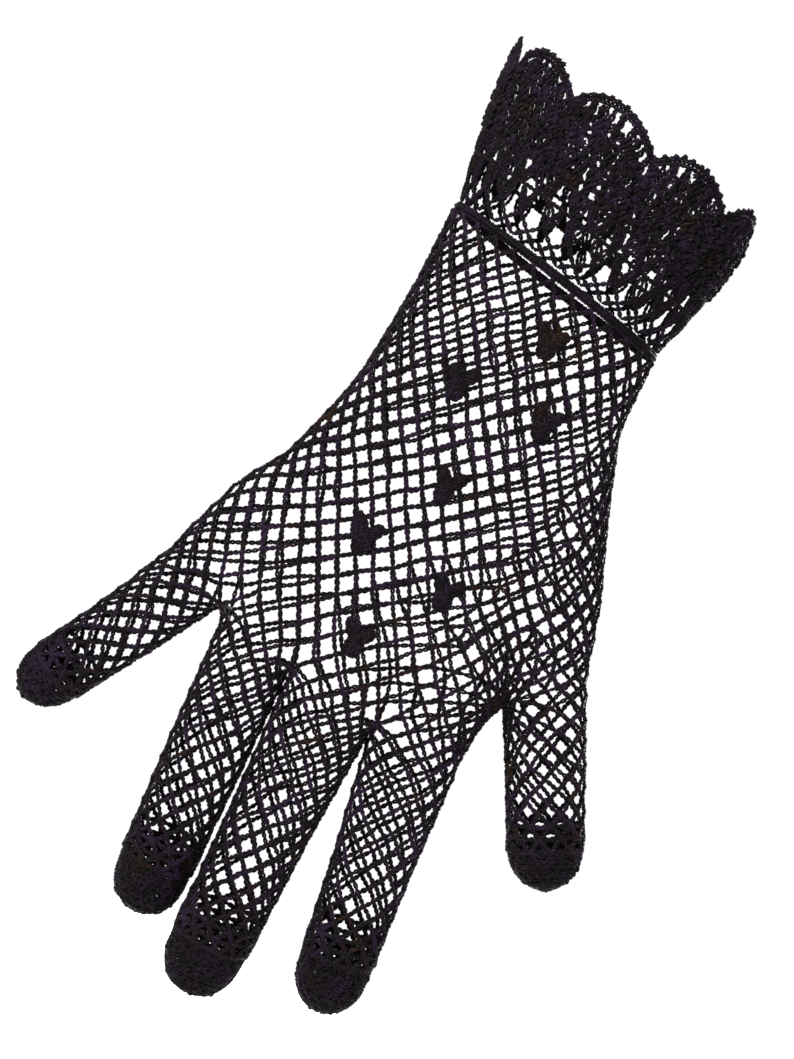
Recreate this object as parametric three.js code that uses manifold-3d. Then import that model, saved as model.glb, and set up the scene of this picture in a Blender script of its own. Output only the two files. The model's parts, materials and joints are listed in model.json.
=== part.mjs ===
// A wrist-length crocheted lace glove for the right hand, in the shape it takes when worn.
// Millimetres. +Z points up the arm, the back of the hand faces -Y and the thumb points to +X.
// The origin is the centre of the wrist opening. "Drop" is a distance down from the wrist
// ridge, towards the fingertips, and "rise" is a distance up from it, towards the arm.
import * as THREE from 'three';
import { LoftGeometry } from 'three/addons/geometries/LoftGeometry.js';
import { mergeVertices } from 'three/addons/utils/BufferGeometryUtils.js';
import Module from 'manifold-3d';

// ---- Driving dimensions -------------------------------------------------------------------

// Fabric and clearances
const WALL = 1.2;                 // thickness of the crocheted lace
const FIT_GAP = 0.3;              // air between two pieces that are worked onto each other
const HINGE_GAP = 0.36;           // air between two finger sections at their hinge line
const FINGER_GAP = 1.1;           // air between neighbouring fingers at their roots

// Wrist
const OPENING_RISE = 41.6;        // the wrist opening's centre above the ridge's centre
const WRIST_X = -1.4;             // sideways place of the wrist's centre
const WRIST_HALF_WIDTH = 31.9;
const WRIST_HALF_DEPTH = 21.5;
const CUFF_LEAN = 11.3;           // degrees: the ridge and the cuff are lower on the thumb side
const RIDGE_HEIGHT = 2.7;         // corded ridge round the wrist
const RIDGE_THICKNESS = 2.8;

// Cuff
const BAND_RISE = 20;             // top of the lace band below the scallops
const VALLEY_RISE = 37;           // rim height between two scallops
const PEAK_RISE = 44.3;           // rim height at a scallop's crown
const RIM_FLARE_WIDTH = 6.9;      // how far the rim stands out from the wrist at the sides
const RIM_FLARE_DEPTH = 6.4;      // and at the back and the palm
const RIM_SHIFT = 1.7;            // the rim's centre lies this far towards the thumb
const SCALLOP_THICKNESS = 1.6;
const SCALLOPS = 9;
const FIRST_SCALLOP = -100;       // degrees round the wrist, -90 being the back of the hand

// Palm
const PALM_LENGTH = 129;          // ridge to the root of the middle finger
const MIDDLE_X = -5;              // sideways place of the middle finger's root
const KNUCKLE_HALF_DEPTH = 15.5;
const STUB_CLEARANCE = 2.8;       // a finger's root stays this far inside the back of the hand

// Fingers, from the thumb side. `step` is the root's drop below the middle finger's root,
// `splay` the lean towards the thumb in degrees, `roll` the turn of the bending plane about the
// finger, `y` the root's depth, `widths` the half widths at the root, the middle joint, the end
// joint and the start of the dense tip, and `tip` the length of the dense tip.
const FINGERS = [
  { name: 'index', step: 1.5, splay: 6.7, roll: 0, y: 0.5, widths: [12.0, 10.4, 9.7, 9.2],
    lengths: [23.5, 21.5, 23], tip: 17 },
  { name: 'middle', step: 0, splay: 0, roll: 0, y: -0.5, widths: [12.4, 11.0, 10.5, 9.9],
    lengths: [28, 26, 26.5], tip: 17 },
  { name: 'ring', step: -8, splay: 2, roll: 0, y: 0.5, widths: [10.5, 10.3, 9.8, 9.2],
    lengths: [26.5, 24.5, 24.5], tip: 16 },
  { name: 'little', step: -19.6, splay: -26.6, roll: -16, y: 3, widths: [9.9, 9.1, 8.6, 8.1],
    lengths: [19, 17, 20], tip: 12 },
];
const FINGER_BENDS = [5, 8, 5];   // degrees each joint is bent at rest
const ROUNDNESS = 0.94;           // a finger's depth over its width

// Thumb: `stand` is how far its root is out from the palm's edge below the index finger
const THUMB = {
  name: 'thumb', stand: 9.9175, drop: 95.5, y: 9, splay: 27.7, roll: -28,
  widths: [11.0, 10.4, 9.5], lengths: [25.5, 27.5], tip: 10,
};
const THUMB_BENDS = [0, 6];
const MOUND_HALF_WIDTH = 16;      // the thumb's mound where it is widest
const MOUND_HALF_DEPTH = 14;

// Hinges: the most each joint bends from rest, and back past rest, in degrees
const ROOT_BEND = 65;
const ROOT_LIFT = 10;
const MIDDLE_BEND = 80;
const END_BEND = 50;
const THUMB_ROOT_BEND = 30;
const THUMB_END_BEND = 60;
const HINGE_SET = 0.45;           // hinge line, from the finger's centre (0) to its palm side (1)
const SWING_CLEARANCE = 3;        // degrees left over when a joint is fully bent

// Cluster motifs on the back of the hand: [sideways place, share of the palm length]
const MOTIFS = [[4, 0.12], [-12, 0.265], [12, 0.265], [-3, 0.46], [-16, 0.622], [9, 0.652], [-6, 0.81]];
const MOTIF_RADIUS = 4.7;
const MOTIF_THICKNESS = 1.3;

const SIDES = 16;                 // facets round a finger
const HAND_SIDES = 36;            // facets round the palm, the cuff and the ridge

// ---- Shared helpers -----------------------------------------------------------------------

const wasm = await Module();
wasm.setup();
const { Manifold } = wasm;

const { degToRad, lerp } = THREE.MathUtils;
const vec = (x, y, z) => new THREE.Vector3(x, y, z);
const turned = (v, axis, degrees) => v.clone().applyAxisAngle(axis, degToRad(degrees));
const moved = (p, v, distance) => p.clone().addScaledVector(v, distance);

const crochet = (name, color) => new THREE.MeshStandardMaterial({
  name, color, roughness: 0.86, metalness: 0,
});
const LACE = crochet('lace', 0x1b1a1d);
const DENSE = crochet('dense_crochet', 0x151417);
const CORD = crochet('corded_edge', 0x1e1b22);

const group = new THREE.Group();

function addPiece(name, geometry, material) {
  const own = material.clone();
  const mesh = new THREE.Mesh(geometry, own);
  mesh.name = name;
  group.add(mesh);
  return mesh;
}

// A closed geometry as a solid that can be joined and cut
function solidOf(geometry) {
  const bare = new THREE.BufferGeometry();
  bare.setAttribute('position', geometry.getAttribute('position'));
  bare.setIndex(geometry.getIndex());
  const merged = mergeVertices(bare, 1e-4);
  return new Manifold(new wasm.Mesh({
    numProp: 3,
    vertProperties: new Float32Array(merged.attributes.position.array),
    triVerts: new Uint32Array(merged.index.array),
  }));
}

function geometryOf(solid) {
  const mesh = solid.getMesh();
  const geometry = new THREE.BufferGeometry();
  geometry.setAttribute('position', new THREE.BufferAttribute(mesh.vertProperties, 3));
  geometry.setIndex(new THREE.BufferAttribute(mesh.triVerts, 1));
  const flat = geometry.toNonIndexed();
  flat.computeVertexNormals();
  return flat;
}

// The part of a solid on the side of a plane that `normal` points to
const keep = (solid, normal, point) => solid.trimByPlane(normal.toArray(), normal.dot(point));

// A closed loft through rings of points
const loft = (rings) => solidOf(new LoftGeometry(rings, { capStart: true, capEnd: true }));

// An oval ring: half width `a` along `across`, half depth `b` along `up`, squarer as `power` grows
function oval(centre, across, up, a, b, sides, power = 2) {
  const squash = (v) => Math.sign(v) * Math.abs(v) ** (2 / power);
  return Array.from({ length: sides }, (_, i) => {
    const angle = (i / sides) * 2 * Math.PI;
    return moved(moved(centre, across, a * squash(Math.cos(angle))), up, b * squash(Math.sin(angle)));
  });
}

// ---- Wrist: the lean of the ridge and the flare of the cuff --------------------------------

const leanSlope = Math.tan(degToRad(CUFF_LEAN));
const zAt = (x, rise) => rise - OPENING_RISE - leanSlope * (x - WRIST_X);
const leanNormal = vec(leanSlope, 0, 1).normalize();

// A point of the cuff's surface: `angle` round the wrist, `rise` above the ridge, `out` outwards
function cuffPoint(angle, rise, out) {
  const flare = Math.sin((Math.max(rise, 0) / PEAK_RISE) * (Math.PI / 2));
  const a = WRIST_HALF_WIDTH + RIM_FLARE_WIDTH * flare + out;
  const b = WRIST_HALF_DEPTH + RIM_FLARE_DEPTH * flare + out;
  const x = WRIST_X + RIM_SHIFT * flare + a * Math.cos(angle);
  return vec(x, b * Math.sin(angle), zAt(x, rise));
}

const cuffRing = (rise, out) => Array.from({ length: HAND_SIDES }, (_, i) => (
  cuffPoint((i / HAND_SIDES) * 2 * Math.PI, rise, out)
));

const ridgeEdge = RIDGE_HEIGHT / 2 + FIT_GAP;

function buildRidge() {
  const corners = 8;
  const rings = Array.from({ length: HAND_SIDES }, (_, i) => {
    const angle = (i / HAND_SIDES) * 2 * Math.PI;
    return Array.from({ length: corners }, (_, j) => {
      const turn = -((j + 0.5) / corners) * 2 * Math.PI;
      const out = (RIDGE_THICKNESS / 2) * Math.cos(turn) - WALL / 2;
      return cuffPoint(angle, 0, out).add(vec(0, 0, (RIDGE_HEIGHT / 2) * Math.sin(turn)));
    });
  });
  rings.push(rings[0]);
  addPiece('wrist_ridge', new LoftGeometry(rings), CORD);
}

function buildBand() {
  const rises = [ridgeEdge, 8, 14, BAND_RISE];
  const outer = loft(rises.map((rise) => cuffRing(rise, 0)));
  const lining = [ridgeEdge - 2, ...rises.slice(1, -1), BAND_RISE + 2];
  const inner = loft(lining.map((rise) => cuffRing(rise, -WALL)));
  addPiece('cuff_band', geometryOf(outer.subtract(inner)), LACE);
}

function buildScallops() {
  const share = (2 * Math.PI) / SCALLOPS;
  const gapAngle = FIT_GAP / WRIST_HALF_DEPTH;
  const half = share / 2 - gapAngle / 2;
  const across = 8;
  const levels = 3;
  const bottom = BAND_RISE + FIT_GAP;
  for (let n = 0; n < SCALLOPS; n += 1) {
    const middle = degToRad(FIRST_SCALLOP) + n * share;
    const rings = Array.from({ length: across + 1 }, (_, i) => {
      const u = (2 * i) / across - 1;
      const top = VALLEY_RISE + (PEAK_RISE - VALLEY_RISE) * (1 - Math.abs(u) ** 2.2);
      const side = (out, k) => cuffPoint(middle + half * u, lerp(bottom, top, k / levels), out);
      const inside = Array.from({ length: levels + 1 }, (_, k) => side(-SCALLOP_THICKNESS, k));
      const outside = Array.from({ length: levels + 1 }, (_, k) => side(0, levels - k));
      return [...inside, ...outside];
    });
    const geometry = new LoftGeometry(rings, { capStart: true, capEnd: true });
    addPiece(`cuff_scallop_${n + 1}`, geometry, DENSE);
  }
}

// ---- Fingers: each is a chain of straight tapered sections joined at hinges -----------------

// Lays a chain out. Each joint holds its hinge point and the directions before and after it;
// each section holds its two end centres, its directions and its half widths.
function layChain(spec, root, bends) {
  let along = vec(Math.sin(degToRad(spec.splay)), 0, -Math.cos(degToRad(spec.splay)));
  let palm = turned(vec(0, 1, 0), along, spec.roll);
  const across = along.clone().cross(palm);
  const joints = [];
  const sections = [];
  let centre = root;
  spec.lengths.forEach((length, i) => {
    const set = HINGE_SET * ROUNDNESS * spec.widths[i];
    const hinge = moved(centre, palm, set);
    const before = { along, palm };
    along = turned(along, across, bends[i]);
    palm = turned(palm, across, bends[i]);
    joints.push({ hinge, before, after: { along, palm }, bend: bends[i] });
    const start = moved(hinge, palm, -set);
    centre = moved(start, along, length);
    sections.push({ start, end: centre, length, along, palm, across,
      from: spec.widths[i], to: spec.widths[i + 1] });
  });
  return { spec, root, across, joints, sections };
}

// A tube's oval at `distance` along a section
function sectionRing(section, distance, shrink) {
  const width = lerp(section.from, section.to, distance / section.length) - shrink;
  const depth = ROUNDNESS * (width + shrink) - shrink;
  const centre = moved(section.start, section.along, distance);
  return oval(centre, section.across, section.palm.clone().negate(), width, depth, SIDES);
}

// The two planes that end a tube just before a hinge, or start one just after it. The palm
// side is cut back so that the joint can close, and the back so that it can lift.
function cutBefore(solid, joint, bend) {
  const { along, palm } = joint.before;
  const close = degToRad((bend + joint.bend + SWING_CLEARANCE) / 2);
  const slanted = along.clone().multiplyScalar(Math.cos(close)).addScaledVector(palm, Math.sin(close));
  const trimmed = keep(solid, along.clone().negate(), moved(joint.hinge, along, -HINGE_GAP / 2));
  return keep(trimmed, slanted.clone().negate(), moved(joint.hinge, slanted, -HINGE_GAP / 2));
}

function cutAfter(solid, joint, bend, lift) {
  const { along, palm } = joint.after;
  const close = degToRad((bend + joint.bend + SWING_CLEARANCE) / 2);
  const raise = degToRad(Math.max(0, lift - joint.bend + (lift > 0 ? SWING_CLEARANCE : 0)));
  const slanted = along.clone().multiplyScalar(Math.cos(close)).addScaledVector(palm, -Math.sin(close));
  const back = along.clone().multiplyScalar(Math.cos(raise)).addScaledVector(palm, Math.sin(raise));
  const trimmed = keep(solid, back, moved(joint.hinge, back, HINGE_GAP / 2));
  return keep(trimmed, slanted, moved(joint.hinge, slanted, HINGE_GAP / 2));
}

// An open tube round one section, `past` beyond both of its ends before it is cut
function tube(section, from, to) {
  const reach = 4;
  const outer = loft([sectionRing(section, from, 0), sectionRing(section, to, 0)]);
  const inner = loft([sectionRing(section, from - reach, WALL), sectionRing(section, to + reach, WALL)]);
  return outer.subtract(inner);
}

// A dense fingertip: a domed shell, open towards the hand
function dome(section, from, to) {
  const steps = 4;
  const tipRadius = Math.min(section.to, to - from - 1);
  const shell = (shrink, start) => {
    const rings = [sectionRing(section, start, shrink)];
    const round = to - tipRadius;
    for (let i = 0; i <= steps; i += 1) {
      const angle = (i / steps) * degToRad(80);
      const distance = round + (tipRadius - shrink) * Math.sin(angle);
      const width = (section.to - shrink) * Math.cos(angle);
      const centre = moved(section.start, section.along, distance);
      const up = section.palm.clone().negate();
      rings.push(oval(centre, section.across, up, width, width * ROUNDNESS, SIDES));
    }
    return loft(rings);
  };
  return shell(0, from).subtract(shell(WALL, from - 2));
}

const partNames = { 2: ['root', 'tip'], 3: ['root', 'mid', 'tip'] };

function buildChain(chain, limits) {
  const { spec, joints, sections } = chain;
  const names = partNames[sections.length];
  sections.forEach((section, i) => {
    const last = i === sections.length - 1;
    const capStart = section.length - spec.tip;
    const from = -4;
    let net = tube(section, from, last ? capStart - FIT_GAP : section.length + 4);
    net = cutAfter(net, joints[i], limits[i].bend, limits[i].lift);
    if (!last) {
      net = cutBefore(net, joints[i + 1], limits[i + 1].bend);
    }
    addPiece(`${spec.name}_${names[i]}_net`, geometryOf(net), LACE);
    if (last) {
      addPiece(`${spec.name}_cap`, geometryOf(dome(section, capStart, section.length)), DENSE);
    }
  });
}

// Finger roots stand side by side, FINGER_GAP apart, starting from the middle finger
function layFingers() {
  const [index, middle, ring, little] = FINGERS;
  const reach = (spec) => spec.widths[0] / Math.cos(degToRad(spec.splay));
  const places = {
    index: MIDDLE_X + middle.widths[0] + FINGER_GAP + reach(index),
    middle: MIDDLE_X,
    ring: MIDDLE_X - middle.widths[0] - FINGER_GAP - reach(ring),
  };
  const ringSide = places.ring - ring.widths[0];
  places.little = ringSide - FINGER_GAP - little.widths[0];
  return [index, middle, ring, little].map((spec) => {
    const root = vec(places[spec.name], spec.y, zAt(WRIST_X, -(PALM_LENGTH + spec.step)));
    return layChain(spec, root, FINGER_BENDS);
  });
}

const fingers = layFingers();
const [indexChain, , , littleChain] = fingers;

// The palm's two side edges run from the wrist's to the outer fingers', and the thumb stands
// out from the second
const outerLittle = littleChain.root.x;
const outerIndex = indexChain.root.x + indexChain.spec.widths[0] + 1;
const thumbRoot = vec(outerIndex + THUMB.stand, THUMB.y, zAt(WRIST_X, -THUMB.drop));
const thumb = layChain(THUMB, thumbRoot, THUMB_BENDS);

const fingerLimits = [
  { bend: ROOT_BEND, lift: ROOT_LIFT }, { bend: MIDDLE_BEND, lift: 0 }, { bend: END_BEND, lift: 0 },
];
const thumbLimits = [
  { bend: THUMB_ROOT_BEND, lift: ROOT_LIFT }, { bend: THUMB_END_BEND, lift: 0 },
];

// ---- Palm: one shell that the finger roots and the thumb's mound grow out of ----------------

// Stations down the palm: share of its length, spread from the wrist's width to the fingers',
// inset of the little finger's edge and of the thumb's, how far the half depth has thinned from
// the wrist's (0) to the knuckles' (1), what it loses past that, and the centre's depth
const PALM_STATIONS = [
  [-0.1, 0, 0, 0, 0, 0, 0],
  [0.05, 0, 0, 0, 0, 0, 0],
  [0.2, 0.06, 0, 0, 0.13, 0, 0.4],
  [0.35, 0.16, 0, 0, 0.43, 0, 0.9],
  [0.46, 0.4, 0, 0, 0.68, 0, 1.2],
  [0.58, 0.7, 0, 0, 0.86, 0, 1.4],
  [0.7, 1, 0, 0, 1, 0, 1.4],
  [0.8, 1, 2.5, 0, 1, 0.9, 1.2],
  [0.86, 1, 13, 2, 1, 1.9, 1],
  [0.89, 1, 20, 6, 1, 4.5, 1],
].map(([share, spread, littleInset, thumbInset, thinning, loss, y]) => {
  const left = lerp(WRIST_X - WRIST_HALF_WIDTH, outerLittle, spread) + littleInset;
  const right = lerp(WRIST_X + WRIST_HALF_WIDTH, outerIndex, spread) - thumbInset;
  const halfDepth = lerp(WRIST_HALF_DEPTH, KNUCKLE_HALF_DEPTH, thinning) - loss;
  return { drop: share * PALM_LENGTH, x: (left + right) / 2, y, halfWidth: (right - left) / 2, halfDepth };
});
const PALM_POWER = 2.3;

// The palm's oval at any drop, between its stations
function palmAt(drop) {
  const next = PALM_STATIONS.findIndex((station) => station.drop >= drop);
  const [low, high] = [PALM_STATIONS[next - 1], PALM_STATIONS[next]];
  const t = (drop - low.drop) / (high.drop - low.drop);
  const mix = (key) => lerp(low[key], high[key], t);
  return { x: mix('x'), y: mix('y'), halfWidth: mix('halfWidth'), halfDepth: mix('halfDepth') };
}

function palmBody(shrink) {
  return loft(PALM_STATIONS.map(({ drop, x, y, halfWidth, halfDepth }) => oval(
    vec(x, y, zAt(WRIST_X, -drop)), vec(1, 0, 0), vec(0, -1, 0),
    halfWidth - shrink, halfDepth - shrink, HAND_SIDES, PALM_POWER,
  )));
}

// A finger's root inside the palm: it widens upwards, so that neighbours grow together
function rootStub(chain, shrink, limit) {
  const { spec, root, across, joints } = chain;
  const { along, palm } = joints[0].before;
  const width = spec.widths[0];
  const back = palm.clone().negate();
  const ring = (distance, a, b) => oval(
    moved(root, along, distance), across, back, a - shrink, b - shrink, SIDES,
  );
  const depth = ROUNDNESS * width;
  const room = KNUCKLE_HALF_DEPTH - STUB_CLEARANCE;
  const open = shrink > 0 ? 5 : 1;
  const body = loft([
    ring(-26, width + 0.8, Math.min(depth, room)), ring(-10, width + 1.3, Math.min(depth + 1, room)),
    ring(-3, width + 0.4, depth + 0.2), ring(0, width, depth), ring(open, width, depth),
  ]);
  return shrink > 0 ? body : cutBefore(body, joints[0], limit.bend);
}

// The thumb's mound: from inside the palm down to the thumb's root
function thumbMound(shrink) {
  const { root, across, joints, spec } = thumb;
  const { along, palm } = joints[0].before;
  const back = palm.clone().negate();
  const open = shrink > 0 ? 5 : 1;
  const [rootWidth, rootDepth] = [spec.widths[0], ROUNDNESS * spec.widths[0]];
  // [distance along the thumb, shift towards the back of the hand, half width, half depth]
  const stations = [
    [-78, 5, MOUND_HALF_WIDTH - 3, MOUND_HALF_DEPTH - 1],
    [-58, 4.5, MOUND_HALF_WIDTH + 1.5, MOUND_HALF_DEPTH],
    [-40, 4, MOUND_HALF_WIDTH + 0.5, MOUND_HALF_DEPTH],
    [-22, 2.5, MOUND_HALF_WIDTH - 1, MOUND_HALF_DEPTH - 0.6],
    [-4, 0, rootWidth + 0.4, rootDepth + 0.4],
    [0, 0, rootWidth, rootDepth], [open, 0, rootWidth, rootDepth],
  ];
  const body = loft(stations.map(([distance, shift, a, b]) => oval(
    moved(moved(root, along, distance), vec(0, -1, 0), shift), across, back, a - shrink, b - shrink, SIDES,
  )));
  return shrink > 0 ? body : cutBefore(body, joints[0], THUMB_ROOT_BEND);
}

function buildHand() {
  const body = (shrink) => fingers.reduce(
    (solid, chain) => solid.add(rootStub(chain, shrink, fingerLimits[0])),
    palmBody(shrink).add(thumbMound(shrink)),
  );
  const shell = body(0).subtract(body(WALL));
  const top = vec(WRIST_X, 0, zAt(WRIST_X, -ridgeEdge));
  addPiece('hand_net', geometryOf(keep(shell, leanNormal.clone().negate(), top)), LACE);
}

// ---- Cluster motifs: three-petalled clusters seated on the back of the hand -----------------

function motifOutline() {
  const shape = new THREE.Shape();
  const points = 30;
  for (let i = 0; i <= points; i += 1) {
    const angle = (i / points) * 2 * Math.PI;
    const radius = MOTIF_RADIUS * (0.78 + 0.22 * Math.cos(3 * (angle + Math.PI / 2)));
    const [x, y] = [radius * Math.cos(angle), radius * Math.sin(angle)];
    if (i === 0) shape.moveTo(x, y);
    else if (i < points) shape.lineTo(x, y);
  }
  return shape;
}

// A point of the back of the hand
function backPoint(x, drop) {
  const at = palmAt(drop);
  const u = Math.abs((x - at.x) / at.halfWidth);
  return vec(x, at.y - at.halfDepth * (1 - u ** PALM_POWER) ** (1 / PALM_POWER), zAt(WRIST_X, -drop));
}

function buildMotifs() {
  const outline = motifOutline();
  MOTIFS.forEach(([x, share], n) => {
    const drop = share * PALM_LENGTH;
    const step = 3;
    const right = backPoint(x + step, drop).sub(backPoint(x - step, drop)).normalize();
    const up = backPoint(x, drop - step).sub(backPoint(x, drop + step)).normalize();
    const out = right.clone().cross(up).normalize();
    up.copy(out).cross(right);
    const geometry = new THREE.ExtrudeGeometry(outline, { depth: MOTIF_THICKNESS, bevelEnabled: false });
    const mesh = addPiece(`back_motif_${n + 1}`, geometry, DENSE);
    mesh.quaternion.setFromRotationMatrix(new THREE.Matrix4().makeBasis(right, up, out));
    mesh.position.copy(moved(backPoint(x, drop), out, FIT_GAP));
  });
}

// ---- The glove ------------------------------------------------------------------------------

buildHand();
buildRidge();
buildBand();
buildScallops();
fingers.forEach((chain) => buildChain(chain, fingerLimits));
buildChain(thumb, thumbLimits);
buildMotifs();

export default group;
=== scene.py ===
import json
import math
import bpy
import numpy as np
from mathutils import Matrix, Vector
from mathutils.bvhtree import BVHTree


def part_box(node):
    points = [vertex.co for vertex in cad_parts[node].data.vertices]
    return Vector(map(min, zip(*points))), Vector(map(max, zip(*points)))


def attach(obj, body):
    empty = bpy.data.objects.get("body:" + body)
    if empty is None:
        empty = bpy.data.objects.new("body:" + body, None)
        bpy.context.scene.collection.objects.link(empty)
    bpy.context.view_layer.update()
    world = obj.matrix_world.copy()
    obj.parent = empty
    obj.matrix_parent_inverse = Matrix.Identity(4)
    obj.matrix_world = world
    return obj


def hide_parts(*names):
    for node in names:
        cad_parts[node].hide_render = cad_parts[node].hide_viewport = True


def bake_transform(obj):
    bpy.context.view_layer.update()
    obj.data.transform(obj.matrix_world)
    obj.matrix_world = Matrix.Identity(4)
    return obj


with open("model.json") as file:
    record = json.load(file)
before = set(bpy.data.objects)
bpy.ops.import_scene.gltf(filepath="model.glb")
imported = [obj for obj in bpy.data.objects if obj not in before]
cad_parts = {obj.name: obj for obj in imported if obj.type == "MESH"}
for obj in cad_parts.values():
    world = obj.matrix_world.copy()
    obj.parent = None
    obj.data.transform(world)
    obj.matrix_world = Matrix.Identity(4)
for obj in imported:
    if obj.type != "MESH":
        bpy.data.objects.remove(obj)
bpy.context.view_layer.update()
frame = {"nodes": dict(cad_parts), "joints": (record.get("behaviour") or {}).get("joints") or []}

# %% [markdown]
# # A crocheted lace glove
# The glove is worked in one black cotton thread: an open diamond net over the hand, dense
# stitches at the fingertips, a corded ridge at the wrist and a flared cuff of scallops.
# Nothing here is a printed pattern. Every strand of the net is a pair of threads that twist
# round each other, so the holes are real holes and the light passes through them.
# Lengths are in millimetres until a mesh is made, and z falls from the wrist to the fingertips.

MM = 1000.0
rng = np.random.default_rng(11)
joints = {joint["name"]: joint for joint in frame["joints"]}


def unit(v):
    """Vectors divided by their lengths, along the last axis."""
    return v / np.maximum(np.linalg.norm(v, axis=-1, keepdims=True), 1e-12)


def node_points(name):
    """The corners of a frame node, in millimetres."""
    mesh = frame["nodes"][name].data
    points = np.empty(len(mesh.vertices) * 3)
    mesh.vertices.foreach_get("co", points)
    return points.reshape(-1, 3) * MM


# %% [markdown]
# ## The fingers' centre lines
# Each finger of the frame is a chain of tapered tubes. The net needs one smooth tube through
# them, so each chain is measured: where its centre passes each joint, and how wide it is there.
# A hinge lies below the centre, towards the palm, by HINGE_SET of the tube's half depth.

# %% Measure the chains
HINGE_SET = 0.45         # of the half depth
ROUNDNESS = 0.94         # half depth over half width
SAMPLES = 110            # points along a centre line
CORNER = 9.0             # the centre line is averaged over this length
ROOT_REACH = 26.0        # how far the centre line goes on above the first hinge
ROOT_SWELL = 1.0         # the extra half width up there
RIM_SHARE, APEX_SHARE = 0.25, 0.97
SECTIONS = {"index": 3, "middle": 3, "ring": 3, "little": 3, "thumb": 2}
PART_NAMES = {3: ["root", "mid", "tip"], 2: ["root", "tip"]}


def half_width(points, across, along, at_start):
    """The largest reach sideways among the third of the points nearest one end."""
    t = points @ along
    cut = np.quantile(t, 1 / 3 if at_start else 2 / 3)
    near = points[t <= cut] if at_start else points[t >= cut]
    side = near @ across
    return (side.max() - side.min()) / 2


def run_along(line):
    """The distance along a polyline at each of its points."""
    return np.r_[0, np.cumsum(np.linalg.norm(np.diff(line, axis=0), axis=1))]


def rounded(line):
    """A polyline sampled evenly, then each sample averaged with those within CORNER / 2."""
    steps = run_along(line)
    even = np.linspace(0, steps[-1], SAMPLES)
    points = np.stack([np.interp(even, steps, line[:, k]) for k in range(3)], 1)
    reach = np.minimum(CORNER / 2, np.minimum(even, steps[-1] - even))[:, None]
    near = np.abs(even[:, None] - even[None]) <= reach
    return near @ points / near.sum(1, keepdims=True), even


def measure(name):
    """A chain's centre line, frames and half widths, as one dictionary of arrays."""
    parts = PART_NAMES[SECTIONS[name]]
    across = np.array(joints[f"{name}_root_bend"]["axis"])
    hinges = [np.array(joints[f"{name}_{part}_bend"]["pos_m"]) * MM for part in parts]
    cap = node_points(f"{name}_cap")
    far = np.linalg.norm(cap - hinges[-1], axis=1)
    rim = cap[far < np.quantile(far, RIM_SHARE)].mean(0)
    apex = cap[far > np.quantile(far, APEX_SHARE)].mean(0)
    centres, widths = [], []
    for i, part in enumerate(parts):
        tube = node_points(f"{name}_{part}_net")
        along = unit(hinges[i + 1] - hinges[i]) if i + 1 < len(parts) else unit(apex - rim)
        widths.append(half_width(tube, across, along, True))
        centres.append(hinges[i] - np.cross(across, along) * HINGE_SET * ROUNDNESS * widths[-1])
    last = unit(apex - centres[-1])
    apex = centres[-1] + last * ((cap - centres[-1]) @ last).max()
    start_along = unit(np.cross(np.cross(across, unit(centres[1] - centres[0])), across))
    line = np.array([centres[0] - start_along * ROOT_REACH, *centres, apex])
    tip_width = half_width(cap, across, last, True)
    centre, s = rounded(line)
    marks = run_along(line)
    width = np.interp(s, marks, [widths[0] + ROOT_SWELL, *widths, tip_width])
    dome = np.clip((s - (s[-1] - tip_width)) / tip_width, 0, 1)
    along = unit(np.gradient(centre, axis=0))
    return dict(name=name, parts=parts, centre=centre, s=s, along=along, width=width,
                across=np.tile(across, (SAMPLES, 1)), back=unit(np.cross(along, across)),
                dome=np.sqrt(1 - dome ** 2 * 0.999), joint_s=marks[1:-1],
                cap_s=marks[-1] - np.linalg.norm(apex - rim))


tubes = {name: measure(name) for name in SECTIONS}
for tube in tubes.values():
    length = round(tube["s"][-1] - ROOT_REACH, 1)
    print(tube["name"], "length", length, "widths", np.round(tube["width"][::36], 1))

# %% [markdown]
# ## From a place on a finger to a place in space
# A stitch on a finger is known by two numbers, how far along the finger it is and at what angle
# round it. One function turns the two numbers into a point and the way out of the skin there,
# and another goes the other way and says how far outside the finger any point lies.

# %% Points on a finger
def along_tube(tube, s, key):
    """A property of the tube at distances s from its start, between its samples."""
    value = tube[key]
    if value.ndim == 1:
        return np.interp(s, tube["s"], value)
    return np.stack([np.interp(s, tube["s"], value[:, k]) for k in range(3)], -1)


def tube_point(tube, s, angle, out=0.0):
    """The tube's surface: centre + (w + out) cos(angle) across + (0.94 w + out) sin(angle) back.

    Returns the points and the outward normals."""
    w = along_tube(tube, s, "width") * along_tube(tube, s, "dome")
    across, back = along_tube(tube, s, "across"), along_tube(tube, s, "back")
    c, sn = np.cos(angle)[..., None], np.sin(angle)[..., None]
    w = w[..., None]
    place = along_tube(tube, s, "centre") + (w + out) * c * across + (ROUNDNESS * w + out) * sn * back
    slope = np.gradient(tube["width"] * tube["dome"], tube["s"])
    lean = np.clip(np.interp(s, tube["s"], slope), -6, 1)[..., None]
    return place, unit(c * across + sn * back - lean * along_tube(tube, s, "along"))


def tube_field(points, tube):
    """How far each point is outside a tube, about, and the nearest sample of its centre line."""
    nearest = ((points[:, None] - tube["centre"][None]) ** 2).sum(-1).argmin(1)
    offset = points - tube["centre"][nearest]
    w = np.maximum(tube["width"][nearest] * tube["dome"][nearest], 0.5)
    u = (offset * tube["across"][nearest]).sum(1) / w
    v = (offset * tube["back"][nearest]).sum(1) / (w * ROUNDNESS)
    behind = np.where(nearest == 0, (offset * tube["along"][nearest]).sum(1), 0) / w
    q = np.sqrt(u ** 2 + v ** 2 + behind ** 2)
    return (q - 1) * w * ROUNDNESS, nearest, q


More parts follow.
